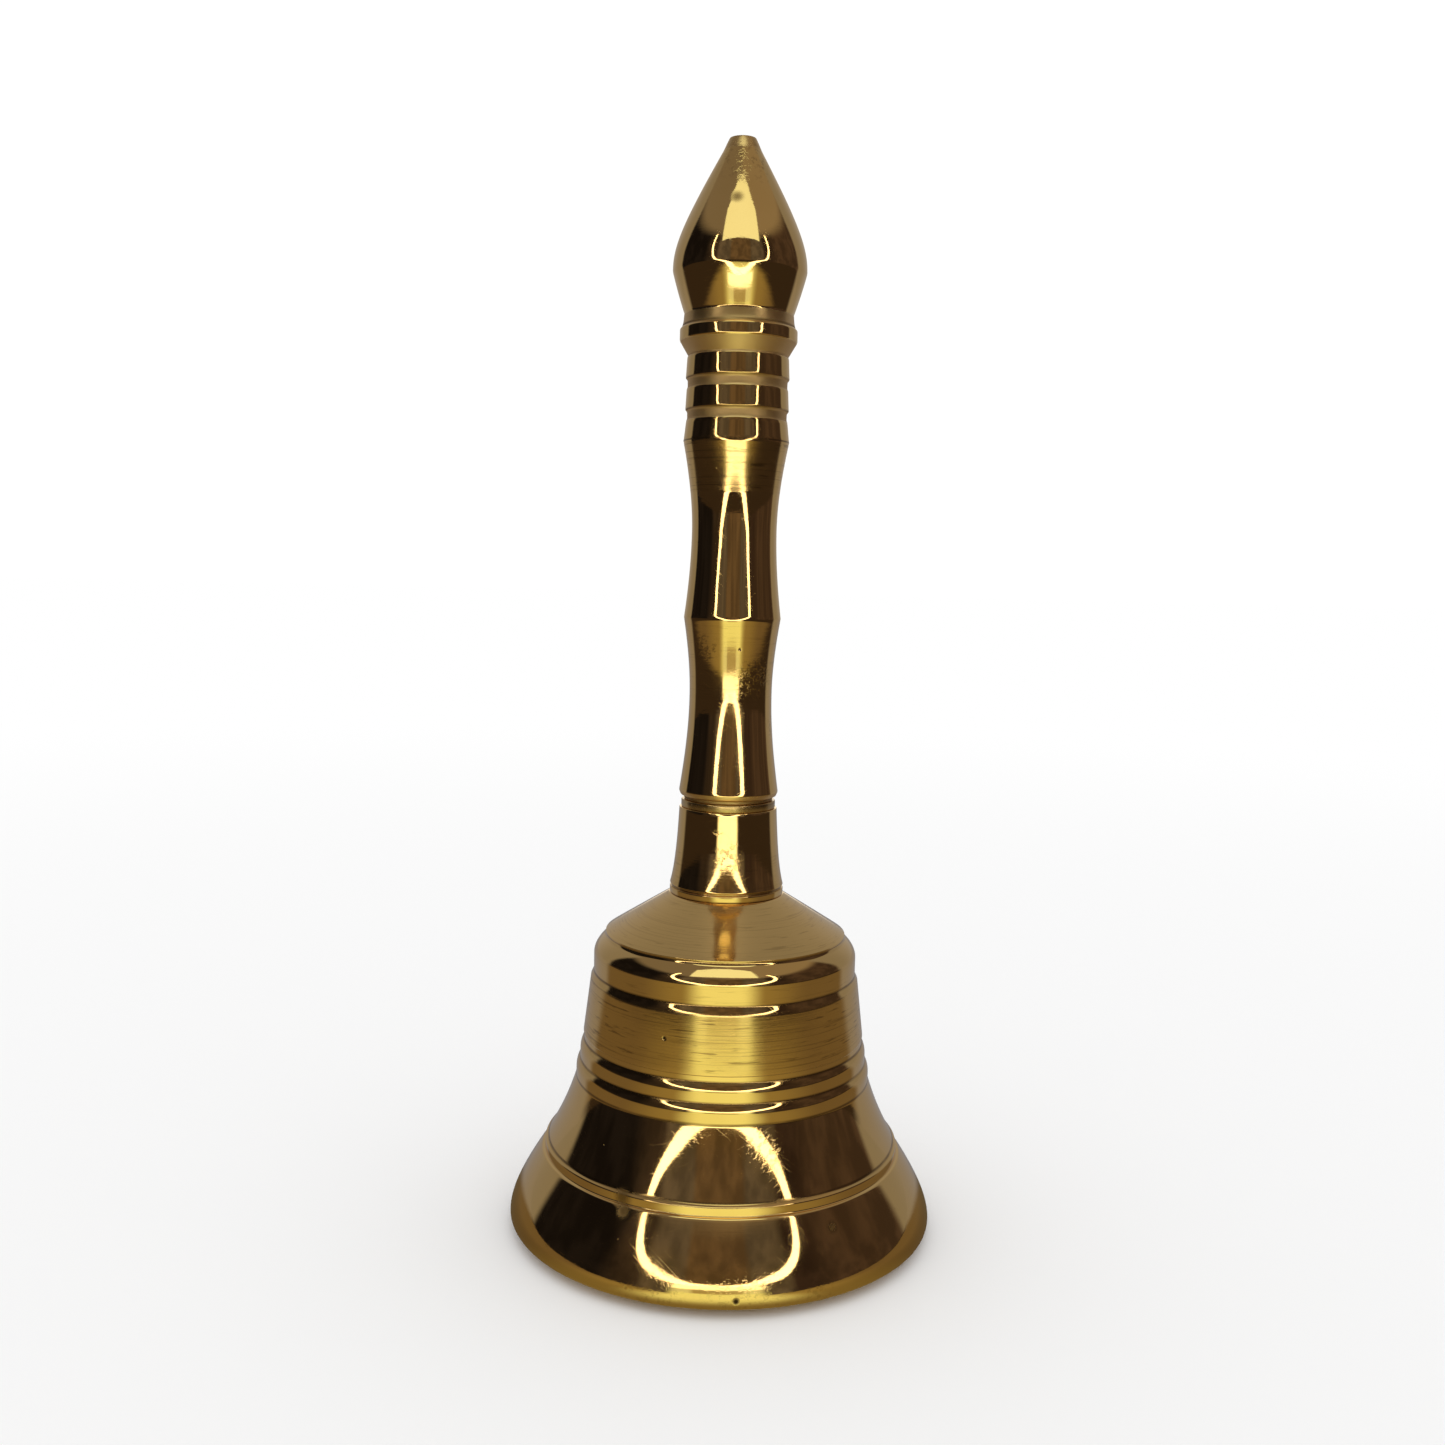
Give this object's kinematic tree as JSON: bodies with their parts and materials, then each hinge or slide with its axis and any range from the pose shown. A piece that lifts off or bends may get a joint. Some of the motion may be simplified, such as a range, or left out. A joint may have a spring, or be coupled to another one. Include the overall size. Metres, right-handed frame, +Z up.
{
  "type": "hand bell",
  "caption": "Brass puja hand bell with a flared cup, a turned handle with a bud finial, and a clapper that hangs inside the cup.",
  "frame": {"origin": "centre of the mouth, on the plane of the rim", "axes": "+Z up the bell's axis, from the mouth to the tip of the bud; X and Y across the mouth"},
  "size_m": [0.06, 0.06, 0.15],
  "materials": {
    "polished_brass": "mirror polished, with fine turning lines",
    "dull_brass": "as cast, unpolished",
    "steel": "plain, slightly dull"
  },
  "bodies": {
    "bell": {"bell_cup": "polished_brass", "neck_collar": "polished_brass", "handle_washer": "dull_brass", "handle": "polished_brass", "eye_bolt": "steel", "crown_washer": "steel", "crown_nut": "steel"},
    "link": {"clapper_link": "steel"},
    "clapper": {"clapper_shank": "dull_brass", "clapper_ball": "dull_brass"}
  },
  "joints": [
    {"name": "link_swing", "type": "hinge", "parent": "bell", "child": "link", "pos_m": [0, 0, 0.0351], "axis": [0, 1, 0], "range_deg": [-34, 34]},
    {"name": "clapper_swing", "type": "hinge", "parent": "link", "child": "clapper", "pos_m": [0, 0, 0.0303], "axis": [1, 0, 0], "range_deg": [-15, 15]}
  ]
}
